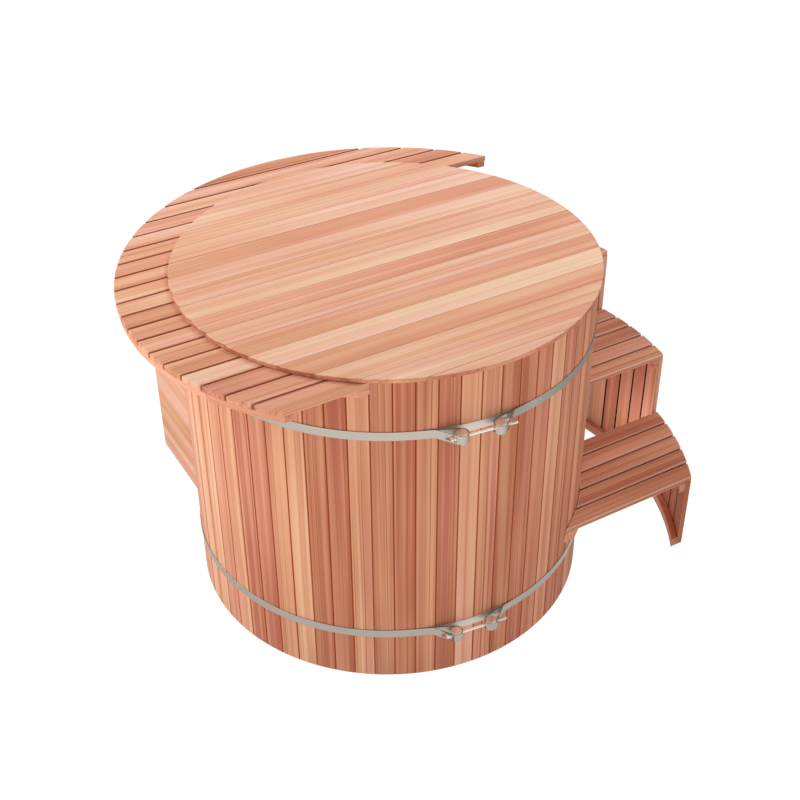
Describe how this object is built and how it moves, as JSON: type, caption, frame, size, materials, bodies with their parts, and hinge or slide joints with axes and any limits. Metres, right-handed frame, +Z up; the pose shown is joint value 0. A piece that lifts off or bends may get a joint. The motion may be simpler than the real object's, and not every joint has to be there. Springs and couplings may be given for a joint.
{
  "type": "cold plunge tub",
  "caption": "Round cedar plunge tub of bevelled staves in steel hoops, with a lift-off board lid, a slatted rim shelf, wrap-round slatted steps and a low housing over the drain valve.",
  "frame": {"origin": "on the ground at the tub's axis, on the underside of the middle floor joist", "axes": "+Z up, +X along the lid boards towards the steps, +Y towards the housing"},
  "size_m": [1.739, 1.6308, 1.0724],
  "materials": {
    "cedar_wall": "planed, clear oil",
    "cedar_lid": "planed, clear oil",
    "cedar_slats": "planed, clear oil",
    "cedar_frame": "sawn",
    "strap_steel": "satin stainless",
    "clamp_steel": "polished stainless",
    "drain_brass": "machined",
    "lever_red": "dipped vinyl"
  },
  "bodies": {
    "tub": {"staves_back_right": "cedar_wall", "staves_back_left": "cedar_wall", "staves_left": "cedar_wall", "staves_front": "cedar_wall", "staves_right": "cedar_wall", "floor_boards": "cedar_slats", "floor_joists": "cedar_frame", "upper_hoop": "strap_steel", "lower_hoop": "strap_steel", "hoop_bridges": "strap_steel", "clamp_barrels": "clamp_steel", "bolt_saddles": "clamp_steel", "shelf_slats_left": "cedar_slats", "shelf_slats_back": "cedar_slats", "shelf_slats_right": "cedar_slats", "shelf_rail": "cedar_frame", "shelf_ledger": "cedar_frame", "step_1_tread": "cedar_slats", "step_2_tread": "cedar_slats", "step_3_tread": "cedar_slats", "step_1_wall": "cedar_slats", "step_2_wall": "cedar_slats", "step_3_wall": "cedar_slats", "step_1_cleat": "cedar_frame", "step_2_cleat": "cedar_frame", "step_3_cleat": "cedar_frame", "step_1_ground_rail": "cedar_frame", "step_2_ground_rail": "cedar_frame", "step_3_ground_rail": "cedar_frame", "step_1_ledger": "cedar_frame", "step_2_ledger": "cedar_frame", "step_3_ledger": "cedar_frame", "housing_top": "cedar_slats", "housing_wall_right": "cedar_slats", "housing_wall_left": "cedar_slats", "housing_cleat": "cedar_frame", "housing_ground_rail": "cedar_frame", "housing_ledger": "cedar_frame", "housing_panel": "cedar_slats", "housing_posts": "cedar_frame", "drain_tube": "drain_brass", "drain_locknut": "drain_brass", "valve_body": "drain_brass"},
    "lid": {"lid_boards": "cedar_lid", "lid_battens": "cedar_lid", "lid_screws": "clamp_steel"},
    "upper_bolt": {"upper_tension_bolt": "clamp_steel"},
    "lower_bolt": {"lower_tension_bolt": "clamp_steel"},
    "drain_lever": {"valve_ball": "clamp_steel", "valve_lever": "lever_red"}
  },
  "joints": [
    {"name": "lid_lift", "type": "slide", "parent": "tub", "child": "lid", "axis": [0, 0, 1], "range_m": [0, 0.3]},
    {"name": "upper_bolt_turn", "type": "hinge", "parent": "tub", "child": "upper_bolt", "pos_m": [-0.08464, -0.63438, 0.888], "axis": [0.9912, -0.1323, 0], "continuous": true},
    {"name": "lower_bolt_turn", "type": "hinge", "parent": "tub", "child": "lower_bolt", "pos_m": [-0.08464, -0.63438, 0.175], "axis": [0.9912, -0.1323, 0], "continuous": true},
    {"name": "drain_lever_turn", "type": "hinge", "parent": "tub", "child": "drain_lever", "pos_m": [0.00865, 0.65724, 0.128], "axis": [0, 0, 1], "range_deg": [-90, 0]}
  ]
}
